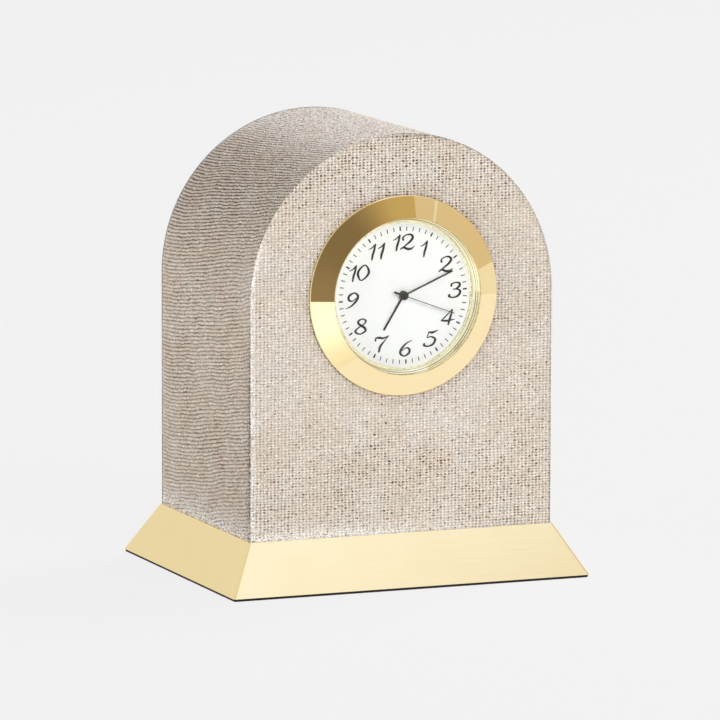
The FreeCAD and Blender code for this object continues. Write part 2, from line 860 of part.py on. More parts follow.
def hour_wheel():
    """Hour wheel on a pipe round the cannon pinion, which carries the hour hand."""
    towards = direction_of(minute_place, FreeCAD.Vector())
    turn = meshed_turn(minute_turns()[1], minute_leaves, hour_teeth, towards)
    high = dial_back - hour_wheel_level
    low = high - wheel_thickness
    pipe = rod(hour_pipe_outer, pin_sides, low, hour_hand_top)
    wheel = fused(gear(hour_teeth, hour_module, low, high, turn), [pipe])
    return wheel.cut(hole(hour_pipe_inner, pin_sides, low, hour_hand_top))


def setting_wheel():
    """Idler between the stem's clutch and the minute wheel."""
    towards = direction_of(minute_place, setting_place)
    turn = meshed_turn(minute_turns()[0], minute_teeth, setting_teeth, towards)
    high = dial_back - minute_wheel_level
    low = high - wheel_thickness
    wheel = gear(setting_teeth, cannon_module, low, high, turn)
    return moved(wheel.cut(hole(stud_radius + running_gap, pin_sides, low, high)), setting_place)


def hand(length, width, boss, pipe, top, reading_deg, tail=0, tail_width=0):
    """Straight hand with a round boss and perhaps a tail, turned clockwise from 12 o'clock to its reading."""
    low = top - hand_thickness
    joined = [rod(boss, knob_sides, low, top)]
    if tail:
        joined.append(block(-tail_width / 2, tail_width / 2, -tail, 0, low, top))
    whole = fused(block(-width / 2, width / 2, 0, length, low, top), joined)
    whole = whole.cut(hole(pipe + press_gap, pin_sides, low, top))
    whole.rotate(FreeCAD.Vector(), FreeCAD.Vector(0, 0, 1), -reading_deg)
    return whole


def hour_hand():
    """Hour hand on the hour wheel's pipe."""
    return hand(hour_hand_length, hour_hand_width, hand_boss_radius, hour_pipe_outer,
                hour_hand_top, hour_reading_deg)


def minute_hand():
    """Minute hand on the cannon pinion's pipe."""
    return hand(minute_hand_length, minute_hand_width, hand_boss_radius, cannon_outer,
                minute_hand_top, minute_reading_deg)


def second_hand():
    """Second hand with a short tail and a capped boss on the seconds arbor."""
    stick = hand(second_hand_length, second_hand_width, second_boss_radius, second_arbor_radius,
                 second_hand_top, second_reading_deg, second_hand_tail, second_tail_width)
    cap = rod(second_boss_radius, knob_sides, second_hand_top, second_hand_top + second_cap_height)
    cap.rotate(FreeCAD.Vector(), FreeCAD.Vector(0, 0, 1), -second_reading_deg)
    return fused(stick, [cap])


def stem_axis():
    """Point where the stem's line crosses the dial's axis."""
    return FreeCAD.Vector(0, 0, stem_level)


def clutch():
    """Fluted sliding pinion with a square hole on the stem."""
    end = clutch_place + clutch_length
    module = 2 * clutch_radius / (clutch_leaves + 2 * addendum_share)
    half = stem_square_side / 2 + clutch_bore_gap
    square = block(-half, half, -half, half, clutch_place - cut_overrun, end + cut_overrun)
    return laid(gear(clutch_leaves, module, clutch_place, end, 0).cut(square), stem_axis())


def groove_place():
    """Middle of the stem's groove at rest, half the pull inside the lever's pivot."""
    return lever_pivot.x - stem_pull / 2


def crown_start():
    """Distance from the dial's axis to the crown's inner face."""
    return case_outer - crown_recess - crown_length


def winding_stem():
    """Stem: a square inner end in the clutch, a round shank and the groove for the setting lever."""
    half = stem_square_side / 2
    square_end = stem_inner_place + stem_square_length
    groove_start = groove_place() - groove_width / 2
    groove_end = groove_place() + groove_width / 2
    square = block(-half, half, -half, half, stem_inner_place, square_end)
    shank = [
        rod(stem_radius, pin_sides, square_end, groove_start),
        rod(groove_radius, pin_sides, groove_start, groove_end),
        rod(stem_radius, pin_sides, groove_end, crown_start() + crown_length / 2),
    ]
    return laid(fused(square, shank), stem_axis())


def crown():
    """Ridged crown on the stem's outer end."""
    start = crown_start()
    end = start + crown_length
    points = []
    for ridge in range(crown_ridges):
        turn = 360 * ridge / crown_ridges
        points.append(polar(crown_radius, turn))
        points.append(polar(crown_radius - crown_ridge_depth, turn + 180 / crown_ridges))
    knob = plate_from(points, start, end)
    depth = crown_length / 2 + press_gap
    socket = cutter(stem_radius + press_gap, pin_sides, start - cut_overrun, start + depth)
    return laid(knob.cut(socket), stem_axis())


def setting_lever():
    """Lever on a stud, whose pin rides in the stem's groove."""
    high = lever_front()
    low = high - lever_thickness
    pin_place = FreeCAD.Vector(groove_place(), -lever_pin_side, 0)
    arm = strap(lever_pivot, pin_place, lever_arm_width, low, high)
    boss = rod(lever_boss_radius, pin_sides, low, high, lever_pivot)
    pin = rod(lever_pin_radius, pin_sides, low, high + lever_pin_drop, pin_place)
    return fused(arm, [boss, pin]).cut(hole(stud_radius + running_gap, pin_sides, low, high, lever_pivot))


case_nodes = {
    "arch_block": arch_block,
    "front_cover": front_cover,
    "back_cover": back_cover,
    "side_band": side_band,
    "plinth_shell": plinth_shell,
    "plinth_filler": plinth_filler,
    "plinth_screws": plinth_screws,
    "base_pad": base_pad,
}

insert_nodes = {
    "bezel": bezel,
    "lens": lens,
    "dial_ring": dial_ring,
    "dial": dial,
    "insert_case": insert_case,
    "grip_sleeve": grip_sleeve,
    "movement_holder": movement_holder,
    "case_back": case_back,
    "main_plate": main_plate,
    "train_bridge": train_bridge,
    "stator": stator,
    "coil_core": coil_core,
    "coil_winding": coil_winding,
    "circuit_board": circuit_board,
    "quartz_crystal": quartz_crystal,
    "battery": battery,
    "battery_clip": battery_clip,
    "movement_screws": movement_screws,
    "rotor": rotor,
    "fifth_wheel": fifth_wheel,
    "second_wheel": second_wheel,
    "third_wheel": third_wheel,
    "centre_wheel": centre_wheel,
    "cannon_pinion": cannon_pinion,
    "minute_wheel": minute_wheel,
    "hour_wheel": hour_wheel,
    "setting_wheel": setting_wheel,
    "hour_hand": hour_hand,
    "minute_hand": minute_hand,
    "second_hand": second_hand,
    "clutch": clutch,
    "winding_stem": winding_stem,
    "crown": crown,
    "setting_lever": setting_lever,
}

os.makedirs("parts", exist_ok=True)
for name, make in case_nodes.items():
    make().exportStep("parts/" + name + ".step")
for name, make in insert_nodes.items():
    in_clock(make()).exportStep("parts/" + name + ".step")
print("nodes:", len(case_nodes) + len(insert_nodes))
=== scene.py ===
import math

import bpy
import numpy as np
from mathutils import Matrix, Vector


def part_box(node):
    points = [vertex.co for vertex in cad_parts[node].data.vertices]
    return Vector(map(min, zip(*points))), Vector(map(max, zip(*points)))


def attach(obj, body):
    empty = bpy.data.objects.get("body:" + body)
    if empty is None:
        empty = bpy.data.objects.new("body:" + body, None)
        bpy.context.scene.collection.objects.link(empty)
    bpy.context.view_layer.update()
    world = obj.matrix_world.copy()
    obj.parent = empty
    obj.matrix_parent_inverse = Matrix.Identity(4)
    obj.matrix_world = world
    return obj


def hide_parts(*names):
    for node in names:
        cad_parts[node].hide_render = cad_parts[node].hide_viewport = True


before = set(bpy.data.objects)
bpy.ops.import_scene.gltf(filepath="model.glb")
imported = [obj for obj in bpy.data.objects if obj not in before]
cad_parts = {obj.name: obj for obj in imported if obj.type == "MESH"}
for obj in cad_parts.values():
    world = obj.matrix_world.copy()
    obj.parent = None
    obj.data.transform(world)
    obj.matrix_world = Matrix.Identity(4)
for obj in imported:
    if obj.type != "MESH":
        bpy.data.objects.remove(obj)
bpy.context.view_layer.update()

MM = 0.001

# The arch as the CAD has it: half its width, the foot of its sides, the centre of its round top,
# its two faces and the thickness of its cloth
FRONT_LOW, FRONT_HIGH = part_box("front_cover")
_, BACK_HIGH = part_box("back_cover")
HALF = FRONT_HIGH.x
BASE = FRONT_LOW.z
SPRING = FRONT_HIGH.z - HALF
FRONT, BACK = FRONT_LOW.y, BACK_HIGH.y
CLOTH = FRONT_HIGH.y - FRONT_LOW.y
PAD_LOW, PAD_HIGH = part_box("base_pad")

# The insert: how far it is turned in its bore, the middle of its dial and the hole for it in the cloth
TWIST = math.radians(2.8)
DIAL_CENTRE = Vector((0, FRONT, 53.05 * MM))
HOLE = 17.62 * MM

# Camera, as fitted to the photograph
AZIMUTH, ELEVATION, ROLL = (math.radians(a) for a in (22.108, 8.481, 0.129))
TARGET = Vector((0.999, 0, 38.0)) * MM
DISTANCE = 1310.0 * MM
FOCAL_PIXELS, IMAGE_PIXELS, SENSOR = 7134.08, 720, 36.0

# How pale the background looks, from 0 to 255
PAPER = 242


def tint(red, green, blue):
    """A colour as it shows on a screen, 0 to 255, turned into Blender's linear one."""
    values = (c / 255 for c in (red, green, blue))
    linear = (c / 12.92 if c <= 0.04045 else ((c + 0.055) / 1.055) ** 2.4 for c in values)
    return (*linear, 1.0)


# Nodes

class Nodes:
    """The node tree of a material or world, to which nodes are added one call each."""

    def __init__(self, owner, output):
        owner.use_nodes = True
        self.owner, self.tree = owner, owner.node_tree
        self.tree.nodes.clear()
        self.output = self.tree.nodes.new(output)

    def node(self, kind, inputs=(), **settings):
        made = self.tree.nodes.new(kind)
        for name, value in settings.items():
            setattr(made, name, value)
        for name, value in dict(inputs).items():
            if isinstance(value, bpy.types.NodeSocket):
                self.tree.links.new(value, made.inputs[name])
            else:
                made.inputs[name].default_value = value
        return made

    def maths(self, operation, first, second=0.5):
        return self.node("ShaderNodeMath", {0: first, 1: second}, operation=operation).outputs[0]

    def times(self, first, second):
        return self.maths("MULTIPLY", first, second)

    def plus(self, first, second):
        return self.maths("ADD", first, second)

    def largest(self, first, *others):
        for other in others:
            first = self.maths("MAXIMUM", first, other)
        return first

    def mix_shaders(self, share, first, second):
        return self.node("ShaderNodeMixShader", {0: share, 1: first.outputs[0], 2: second.outputs[0]})

    def finish(self, shader):
        self.tree.links.new(shader.outputs[0], self.output.inputs["Surface"])
        return self.owner


class Surface(Nodes):
    """A material, with noise laid out in the object's own coordinates."""

    def __init__(self, name):
        super().__init__(bpy.data.materials.new(name), "ShaderNodeOutputMaterial")
        self.place = self.node("ShaderNodeTexCoord").outputs["Object"]

    def noise_at(self, vector, detail=2.0, roughness=0.5):
        return self.node("ShaderNodeTexNoise", {
            "Vector": vector, "Scale": 1.0, "Detail": detail, "Roughness": roughness}).outputs["Fac"]

    def noise(self, size, detail=2.0, roughness=0.5, stretch=(1, 1, 1)):
        """Noise with features of about that size in metres, longer where stretch is larger."""
        scale = [1 / (size * s) for s in stretch]
        place = self.node("ShaderNodeMapping", {"Vector": self.place, "Scale": scale})
        return self.noise_at(place.outputs[0], detail, roughness)

    def random(self, x, y):
        """A chance value from 0 to 1, the same one wherever x and y are the same."""
        return self.node("ShaderNodeTexWhiteNoise", {"Vector": self.join(x, y)}).outputs["Value"]

    def ramp(self, value, low, high, to_low=0.0, to_high=1.0):
        return self.node("ShaderNodeMapRange", {
            "Value": value, "From Min": low, "From Max": high, "To Min": to_low, "To Max": to_high}).outputs[0]

    def dimmed(self, value, power, share):
        """One, less a share of the value's power."""
        return self.maths("SUBTRACT", 1.0, self.times(self.maths("POWER", value, power), share))

    def mix(self, share, first, second, blend="MIX"):
        inputs = {0: share, 6: first, 7: second}
        return self.node("ShaderNodeMix", inputs, data_type="RGBA", blend_type=blend).outputs[2]

    def blend(self, share, first, second):
        return self.node("ShaderNodeMix", {0: share, 2: first, 3: second}, data_type="FLOAT").outputs[0]

    def join(self, x, y):
        return self.node("ShaderNodeCombineXYZ", {0: x, 1: y}).outputs[0]

    def stored(self, name, output="Fac"):
        return self.node("ShaderNodeAttribute", attribute_name=name).outputs[output]

    def bump(self, height, depth, strength):
        inputs = {"Height": height, "Distance": depth, "Strength": strength}
        return self.node("ShaderNodeBump", inputs).outputs[0]

    def glow(self, colour, strength=1.0):
        return self.node("ShaderNodeEmission", {"Color": colour, "Strength": strength})

    def principled(self, **inputs):
        names = {k.replace("_", " "): v for k, v in inputs.items()}
        return self.finish(self.node("ShaderNodeBsdfPrincipled", names))


# Materials

# What differs between the plain weave and the ribbed one: how much darker a thread is at its sides and
# at its ends, how far fibres and flecks stretch, the noise between which fluff shows, and the sheen
PLAIN = {"sides": 0.2, "ends": 0.16, "fibre": (1, 1, 1), "fleck": (1, 1, 1), "fluff": (0.47, 0.53), "sheen": 0.1}
RIBBED = {"sides": 0.28, "ends": 0.12, "fibre": (1, 2.5, 1), "fleck": (1, 2, 1), "fluff": (0.5, 0.56), "sheen": 0.15}

# How far the painted threads stray from the mesh's, in threads, and the sizes of what the noise draws
WARP_SLACK, WEFT_SLACK = 0.32, 0.27
PATCHES, SPECKS, FIBRES, FLECKS = 7 * MM, 0.6 * MM, 0.23 * MM, 0.26 * MM


def cloth_material(name, weave, light, warm, cool, gap, pale, soil):
    """Cloth whose threads follow the counts stored on the mesh: each has its own tone and dark sides.

    light, warm and cool are the yarn's colours, gap shows between the threads, pale is the stray
    fluff and the painted highlight and light, and the last colour is the painted shade at the edges.
    """
    s = Surface(name)
    warp = s.plus(s.stored("warp"), s.ramp(s.noise(0.5 * MM), 0.2, 0.8, -WARP_SLACK, WARP_SLACK))
    weft = s.plus(s.stored("weft"), s.ramp(s.noise(0.7 * MM), 0.2, 0.8, -WEFT_SLACK, WEFT_SLACK))
    warp_side, weft_side = (s.maths("ABSOLUTE", s.maths("SINE", s.times(v, math.pi))) for v in (warp, weft))
    warp_number, weft_number = (s.maths("FLOOR", s.plus(v, 0.5)) for v in (warp, weft))
    warp_tone = s.noise_at(s.join(s.times(warp_number, 3.7), s.times(weft, 0.8)), 3.0)
    weft_tone = s.noise_at(s.join(s.times(weft_number, 5.3), s.times(warp, 0.8)), 3.0)

    # Where the gaps between threads stand open, each by a chance of its own
    chance = s.random(s.maths("FLOOR", warp), s.maths("FLOOR", weft))
    if weave is RIBBED:
        tone, side, end = weft_tone, weft_side, warp_side
        opened = s.times(s.ramp(warp_side, 0.1, 0.9, 0.35, 1.0), s.ramp(weft_side, 0.76, 0.99))
        opened = s.times(opened, s.ramp(chance, 0.0, 1.0, 0.45, 1.25))
    else:
        under = s.maths("FLOORED_MODULO", s.plus(warp_number, weft_number), 2.0)
        tone, side = s.blend(under, warp_tone, weft_tone), s.blend(under, warp_side, weft_side)
        end = s.blend(under, weft_side, warp_side)
        opened = s.ramp(s.times(warp_side, weft_side), 0.4, 0.9)
        opened = s.times(opened, s.plus(s.times(s.maths("POWER", chance, 2.6), 1.05), 0.25))
        opened = s.plus(opened, s.times(s.ramp(chance, 0.992, 0.994), opened))
    # The stored openness also carries painted shade: it darkens the gaps round the hole, at the band's front and back
    # edges and on its shoulders
    opened = s.times(opened, s.stored("loose"))

    # Light and shade of the yarn, as a share of its colour
    fibre = s.noise(FIBRES, 1.5, 0.6, weave["fibre"])
    knot = s.random(warp_number, s.plus(weft_number, 0.37))
    shade = s.times(s.dimmed(side, 2.5, weave["sides"]), s.dimmed(end, 3.0, weave["ends"]))
    for value, low, high, spread in ((tone, 0.25, 0.75, 0.09), (knot, 0.0, 1.0, 0.07), (fibre, 0.3, 0.7, 0.32)):
        shade = s.times(shade, s.ramp(value, low, high, 1 - spread, 1 + spread))
    grey = s.node("ShaderNodeCombineColor", {0: shade, 1: shade, 2: shade}).outputs[0]

    colour = s.mix(s.ramp(s.noise(PATCHES, 4.0, 0.65), 0.4, 0.62), light, warm)
    colour = s.mix(s.ramp(s.noise(SPECKS, 3.0), 0.45, 0.7, 0.0, 0.5), colour, cool)
    colour = s.mix(1.0, colour, grey, "MULTIPLY")
    colour = s.mix(opened, colour, gap)
    flecks = s.noise(FLECKS, 1.5, 0.6, weave["fleck"])
    # Painted shade along the dark edges, broken by flecks: the front sheet's right edge, the band's left front edge and
    # round the hole
    soiled = s.times(s.stored("soil"), s.ramp(flecks, 0.56, 0.46))
    colour = s.mix(s.maths("MINIMUM", soiled, 1.0), colour, soil)
    # Pale fluff, with a painted highlight on the front sheet's left edge and painted light on the band's top, broken by
    # flecks
    colour = s.mix(s.times(s.stored("fray"), s.ramp(flecks, *weave["fluff"])), colour, pale)
    return s.principled(
        Base_Color=colour, Roughness=s.ramp(fibre, 0.2, 0.8, 0.82, 0.98), Normal=s.bump(fibre, 0.1 * MM, 0.9),
        Sheen_Weight=weave["sheen"], Sheen_Roughness=0.4, Specular_IOR_Level=0.25)


def metal_material(name, colour, deep, rough, grain=(1, 1, 1), grain_size=0.25 * MM, depth=0.002 * MM, metal=1.0):
    """Metal with a faint grain in its roughness and relief, and a slow change of colour."""
    s = Surface(name)
    slow, fine = s.noise(9 * MM), s.noise(grain_size, 4.0, 0.6, grain)
    return s.principled(
        Base_Color=s.mix(s.ramp(slow, 0.3, 0.7), (*colour, 1), (*deep, 1)), Metallic=metal,
        Roughness=s.ramp(fine, 0.2, 0.8, rough * 0.85, rough * 1.15), Normal=s.bump(fine, depth, 0.5))


def plain_material(name, colour, deep, rough, size, depth, stretch=(1, 1, 1), sheen=0.0):
    """Wood, plastic, rubber, felt or paint: two tones in a grain, with roughness and relief to match."""
    s = Surface(name)
    grain = s.noise(size, 5.0, 0.6, stretch)
    return s.principled(
        Base_Color=s.mix(s.ramp(grain, 0.3, 0.7), colour, deep),
        Roughness=s.ramp(grain, 0.2, 0.8, rough * 0.9, min(1.0, rough * 1.1)),
        Normal=s.bump(grain, depth, 0.6), Sheen_Weight=sheen)


def glass_material(name):
    """Clear lens: what is behind it shows, with a reflection that grows at a glancing angle."""
    s = Surface(name)
    clear = s.node("ShaderNodeBsdfTransparent", {"Color": (0.985, 0.99, 0.985, 1)})
    haze = s.ramp(s.noise(4 * MM, 3.0), 0.3, 0.7, 0.01, 0.03)
    shine = s.node("ShaderNodeBsdfGlossy", {"Roughness": haze})
    share = s.times(s.node("ShaderNodeFresnel", {"IOR": 1.45}).outputs[0], 0.6)
    front_only = s.maths("SUBTRACT", 1.0, s.node("ShaderNodeNewGeometry").outputs["Backfacing"])
    return s.finish(s.mix_shaders(s.times(share, front_only), clear, shine))


# Colours of each weave: light, warm and cool yarn, the gap, the pale of fluff and painted highlights, and the painted
# shade at the edges
PLAIN_COLOURS = (
    tint(226, 217, 205), tint(222, 208, 191), tint(224, 216, 208),
    tint(104, 74, 48), tint(253, 251, 246), tint(86, 66, 48))
RIBBED_COLOURS = (
    tint(218, 206, 192), tint(214, 197, 178), tint(217, 206, 195),
    tint(84, 64, 48), tint(246, 245, 243), tint(34, 40, 54))
MATERIALS = {made.name.split(".")[0]: made for made in (
    cloth_material("front_cloth", PLAIN, *PLAIN_COLOURS),
    cloth_material("back_cloth", PLAIN, *PLAIN_COLOURS),
    cloth_material("side_cloth", RIBBED, *RIBBED_COLOURS),
    metal_material("plinth_gold", (0.92, 0.74, 0.36), (0.91, 0.725, 0.345), 0.13, (30, 30, 1), 0.3 * MM, 0.001 * MM),
    metal_material("bezel_gold", (0.93, 0.755, 0.405), (0.915, 0.735, 0.38), 0.035, depth=0.0003 * MM),
    metal_material("ring_gold", (1.0, 0.94, 0.66), (0.99, 0.92, 0.62), 0.035, metal=0.85),
    metal_material("case_metal", (0.72, 0.7, 0.66), (0.66, 0.64, 0.6), 0.3, (1, 1, 20)),
    metal_material("screw_steel", (0.62, 0.62, 0.6), (0.5, 0.5, 0.48), 0.32),
    metal_material("can_steel", (0.75, 0.75, 0.74), (0.66, 0.66, 0.65), 0.22),
    metal_material("iron", (0.5, 0.49, 0.47), (0.4, 0.39, 0.38), 0.42),
    metal_material("copper_wire", (0.85, 0.42, 0.22), (0.62, 0.26, 0.12), 0.28, (1, 1, 1), 0.12 * MM, 0.02 * MM),
    metal_material("plate_brass", (0.86, 0.68, 0.34), (0.78, 0.6, 0.28), 0.26, (12, 1, 1)),
    metal_material("wheel_brass", (0.88, 0.7, 0.36), (0.8, 0.62, 0.3), 0.22),
    metal_material("blued_steel", (0.2, 0.24, 0.36), (0.13, 0.16, 0.25), 0.24),
    plain_material("core_wood", tint(198, 164, 120), tint(168, 130, 88), 0.75, 1.2 * MM, 0.05 * MM, (1, 1, 9)),
    plain_material("filler_wood", tint(190, 158, 116), tint(160, 124, 84), 0.78, 1.2 * MM, 0.05 * MM, (9, 1, 1)),
    plain_material("felt", tint(13, 11, 9), tint(27, 23, 20), 0.97, 0.25 * MM, 0.06 * MM, sheen=0.05),
    plain_material("dial_white", (0.905, 0.905, 0.9, 1), (0.89, 0.89, 0.885, 1), 0.55, 2.5 * MM, 0.001 * MM),
    plain_material("hand_black", tint(48, 45, 42), tint(36, 34, 32), 0.42, 0.6 * MM, 0.002 * MM),
    plain_material("sleeve_rubber", tint(58, 56, 54), tint(42, 40, 39), 0.7, 0.5 * MM, 0.02 * MM),
    plain_material("holder_plastic", tint(226, 222, 212), tint(214, 209, 197), 0.5, 1.5 * MM, 0.006 * MM),
    plain_material("board_green", tint(34, 98, 62), tint(24, 78, 48), 0.45, 0.6 * MM, 0.006 * MM),
    plain_material("magnet_black", tint(52, 52, 56), tint(38, 38, 42), 0.55, 0.3 * MM, 0.01 * MM),
    glass_material("lens_glass"),
)}
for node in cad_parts.values():
    for held in node.material_slots:
        held.material = MATERIALS[held.material.name.split(".")[0]]


# Mesh helpers

def make_object(name, points, faces, smooth=True, sharp=None, **stored):
    """A mesh with values stored at its points. Edges over the sharp angle, in degrees, stay hard."""
    mesh = bpy.data.meshes.new(name)
    mesh.from_pydata(np.asarray(points).tolist(), [], [tuple(int(i) for i in face) for face in faces])
    for key, values in stored.items():
        mesh.attributes.new(key, "FLOAT", "POINT").data.foreach_set("value", np.asarray(values, np.float32))
    mesh.polygons.foreach_set("use_smooth", [smooth] * len(mesh.polygons))
    if sharp:
        mesh.set_sharp_from_angle(angle=math.radians(sharp))
    mesh.update()
    made = bpy.data.objects.new(name, mesh)
    bpy.context.scene.collection.objects.link(made)
    return made


def dress(piece, slot, body, *replaced):
    """Gives a piece its material, sets it on the body it rides on, and hides the CAD nodes it stands for."""
    piece.data.materials.append(MATERIALS[slot])
    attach(piece, body)
    if replaced:
        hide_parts(*replaced)
    return piece


def grid_faces(columns, rows):
    """Faces of a grid whose points are counted column by column."""
    corner = (np.arange(columns - 1)[:, None] * rows + np.arange(rows - 1)[None, :]).ravel()
    return np.stack([corner, corner + rows, corner + rows + 1, corner + 1], 1)


def with_rim(rim, **stored):
    """Stored values, with the rim's once more for the points that copy it."""
    return {key: np.concatenate([values, values[rim]]) for key, values in stored.items()}


NOISE_CELLS = 97


def drift(a, b, seed):
    """Smooth noise from -1 to 1 at the points (a, b), which count in cells of the noise."""
    table = np.random.default_rng(seed).uniform(-1, 1, (NOISE_CELLS, NOISE_CELLS))
    i, j = np.floor(a).astype(int), np.floor(b).astype(int)
    s, t = a - i, b - j
    s, t = s * s * (3 - 2 * s), t * t * (3 - 2 * t)

    def at(p, q):
        return table[p % NOISE_CELLS, q % NOISE_CELLS]

    return (at(i, j) * (1 - s) + at(i + 1, j) * s) * (1 - t) + (at(i, j + 1) * (1 - s) + at(i + 1, j + 1) * s) * t


def step(x, low, high):
    """A smooth step from 0 at low to 1 at high, which falls where low is the larger."""
    t = np.clip((x - low) / (high - low), 0, 1)
    return t * t * (3 - 2 * t)


def near(distance, reach):
    """One at no distance, and less over a reach in millimetres."""
    return np.exp(-distance / (reach * MM))


# Woven sheets on the front and back

# From thread to thread across and up, and the mesh's steps for each thread
WARP_PITCH, WEFT_PITCH = 0.69 * MM, 0.5 * MM
WARP_STEPS, WEFT_STEPS = 4, 2
# How far a thread rises over the next, falls off at its sides, and is uneven from point to point and slowly
WAVE, ROUND = 0.055 * MM, 0.13 * MM
THREAD_NOISE, THREAD_SWELL = 0.012 * MM, 0.02 * MM
# The round at the sheet's edge; points nearer the cut than a sliver are put on it
RIM, SLIVER = 0.3 * MM, 0.02 * MM


def weave_height(warp, weft, thick):
    """How high the upper thread stands in a plain weave, at counts of threads across and up."""
    i, j = np.floor(warp + 0.5), np.floor(weft + 0.5)
    upper = WAVE * np.cos(np.pi * (weft + i)) + ROUND * (np.cos(np.pi * (warp - i)) - 1)
    lower = -WAVE * np.cos(np.pi * (warp + j)) + ROUND * (np.cos(np.pi * (weft - j)) - 1)
    return np.maximum(upper, lower) * thick


def edge_room(x, z):
    """How far inside the arch's sides and top a point is."""
    return np.where(z > SPRING, HALF - np.hypot(x, z - SPRING), HALF - np.abs(x))


def put_on_arch(x, z):
    outside = edge_room(x, z) < SLIVER
    reach = np.hypot(x, z - SPRING)
    on_arc = outside & (z > SPRING)
    x, z = (np.where(on_arc, x * HALF / reach, np.where(outside, np.sign(x) * HALF, x)),
            np.where(on_arc, SPRING + (z - SPRING) * HALF / reach, z))
    return x, np.maximum(z, BASE)


def put_on_hole(x, z, hole):
    reach = np.maximum(np.hypot(x, z - DIAL_CENTRE.z), MM)
    inside = reach < hole + SLIVER
    return (np.where(inside, x * hole / reach, x),
            np.where(inside, DIAL_CENTRE.z + (z - DIAL_CENTRE.z) * hole / reach, z))


def border_skirt(faces, size):
    """The border's points, and faces from it to copies of them that count on from size."""
    sides = np.concatenate([faces[:, [k, (k + 1) % 4]] for k in range(4)])
    codes, back_codes = sides[:, 0] * size + sides[:, 1], sides[:, 1] * size + sides[:, 0]
    border = sides[~np.isin(codes, back_codes)]
    rim = np.unique(border)
    place = np.full(size, -1)
    place[rim] = size + np.arange(len(rim))
    return rim, np.stack([border[:, 1], border[:, 0], place[border[:, 0]], place[border[:, 1]]], 1)


def woven_sheet(name, face, outward, hole, seed):
    """A plain weave cut to the arch and round the hole, with turned edges.

    Its points fall on the threads and the gaps. A hole below zero leaves the sheet whole.
    """
    rng = np.random.default_rng(seed)
    columns = 2 * round(HALF / WARP_PITCH * WARP_STEPS) + 1
    rows = round((SPRING + HALF - BASE) / WEFT_PITCH * WEFT_STEPS) + 1
    a, b = (g.ravel() for g in np.meshgrid(np.arange(columns), np.arange(rows), indexing="ij"))
    x = np.linspace(-HALF, HALF, columns)[a]
    z = np.linspace(BASE, SPRING + HALF, rows)[b]
    warp, weft = a / WARP_STEPS, b / WEFT_STEPS

    def hole_room(x, z):
        return np.hypot(x, z - DIAL_CENTRE.z) - hole

    # The threads sway by some hundredths of a millimetre, but not at the cuts
    room = np.minimum(edge_room(x, z), z - BASE)
    fade = step(np.minimum(room, hole_room(x, z)), 0, 1 * MM)
    x = x + fade * MM * (
        0.16 * drift(warp / 5, weft / 23, seed + 1) + 0.07 * drift(warp * 1.01, weft / 6, seed + 2))
    z = z + fade * MM * (
        0.13 * drift(warp / 19, weft / 5, seed + 3) + 0.05 * drift(warp / 5, weft * 1.01, seed + 4))

    # The weave is more open at the top, towards the base and round the hole; round the hole this also darkens its gaps
    # as painted shade
    loose = np.clip(
        0.62 + 0.34 * drift(warp / 9, weft / 13, seed + 5) + 0.12 * drift(warp / 2.5, weft / 3, seed + 6)
        + 0.95 * step(z, 64 * MM, 76 * MM) + 0.6 * step(z, 34 * MM, 12 * MM)
        + 0.6 * step(hole_room(x, z), 2.5 * MM, 0), 0.1, 2.0)
    height = weave_height(warp, weft, 0.75 + 0.35 * loose)
    height = height + THREAD_NOISE * rng.normal(0, 1, len(a)) + THREAD_SWELL * drift(warp * 0.97, weft / 5, seed + 7)

    inside = (room > SLIVER) & (hole_room(x, z) > SLIVER)
    faces = grid_faces(columns, rows)
    faces = faces[inside[faces].any(1)]
    used = np.unique(faces)
    renumber = np.full(len(a), -1)
    renumber[used] = np.arange(len(used))
    faces = renumber[faces]
    x, z, height, warp, weft, loose = (v[used] for v in (x, z, height, warp, weft, loose))
    x, z = put_on_hole(*put_on_arch(x, z), hole)

    edge = np.clip(edge_room(x, z), 0, None)
    sunk = RIM - np.sqrt(np.clip(RIM ** 2 - np.clip(RIM - edge, 0, RIM) ** 2, 0, None))
    height = height * step(np.minimum(edge, np.abs(hole_room(x, z))), 0, RIM)

    # Pale at the left edge, stray fluff with a painted highlight, and stray fluff at the base; painted shade as a dark
    # line at the right edge, where the sheet meets the band, and round the hole
    low = np.clip(z - BASE, 0, None)
    left_edge = step(-x, 0.8 * HALF, 0.97 * HALF) * step(z, 68 * MM, 60 * MM)
    fray = 1.5 * near(edge, 0.36) * left_edge + 1.1 * near(low, 1.9) * step(-x, -HALF, HALF * 0.6)
    soil = 1.1 * near(edge, 0.27) * step(x, -0.45 * HALF, 0.1 * HALF) + 0.7 * near(np.abs(hole_room(x, z)), 0.9)

    rim, skirt = border_skirt(faces, len(x))
    points = np.stack([x, face + outward * (height - sunk), z], 1)
    turned = points[rim].copy()
    turned[:, 1] = face - outward * CLOTH
    faces = np.concatenate([faces, skirt])
    if outward > 0:
        faces = faces[:, ::-1]
    return make_object(name, np.concatenate([points, turned]), faces, **with_rim(
        rim, warp=warp, weft=weft, loose=loose, fray=np.clip(fray, 0, 1), soil=soil))


front_cloth = dress(woven_sheet("front_cloth", FRONT, -1, HOLE, 11), "front_cloth", "case", "front_cover")
back_cloth = dress(woven_sheet("back_cloth", BACK, 1, -1.0, 31), "back_cloth", "case", "back_cover")


# Ribbed band round the sides and top

# From rib to rib and between the threads across them, the mesh's steps for each rib and from front to back
RIB, CROSS_PITCH = 0.68 * MM, 0.8 * MM
RIB_STEPS, DEEP_STEPS = 6, 60
# A rib's height and how uneven it is from point to point and slowly
RIB_HIGH, RIB_NOISE, RIB_SWELL = 0.12 * MM, 0.014 * MM, 0.02 * MM
# How far the ribs lean along the strip for their length, and over what length they start to
RIB_SKEW, BEND_REACH = 0.17, 9 * MM
# How far the strip ends short of each face, and how deep it dips there
BAND_EDGE, EDGE_DROP = 0.12 * MM, 0.1 * MM
BAND_LENGTH = 2 * (SPRING - BASE) + math.pi * HALF


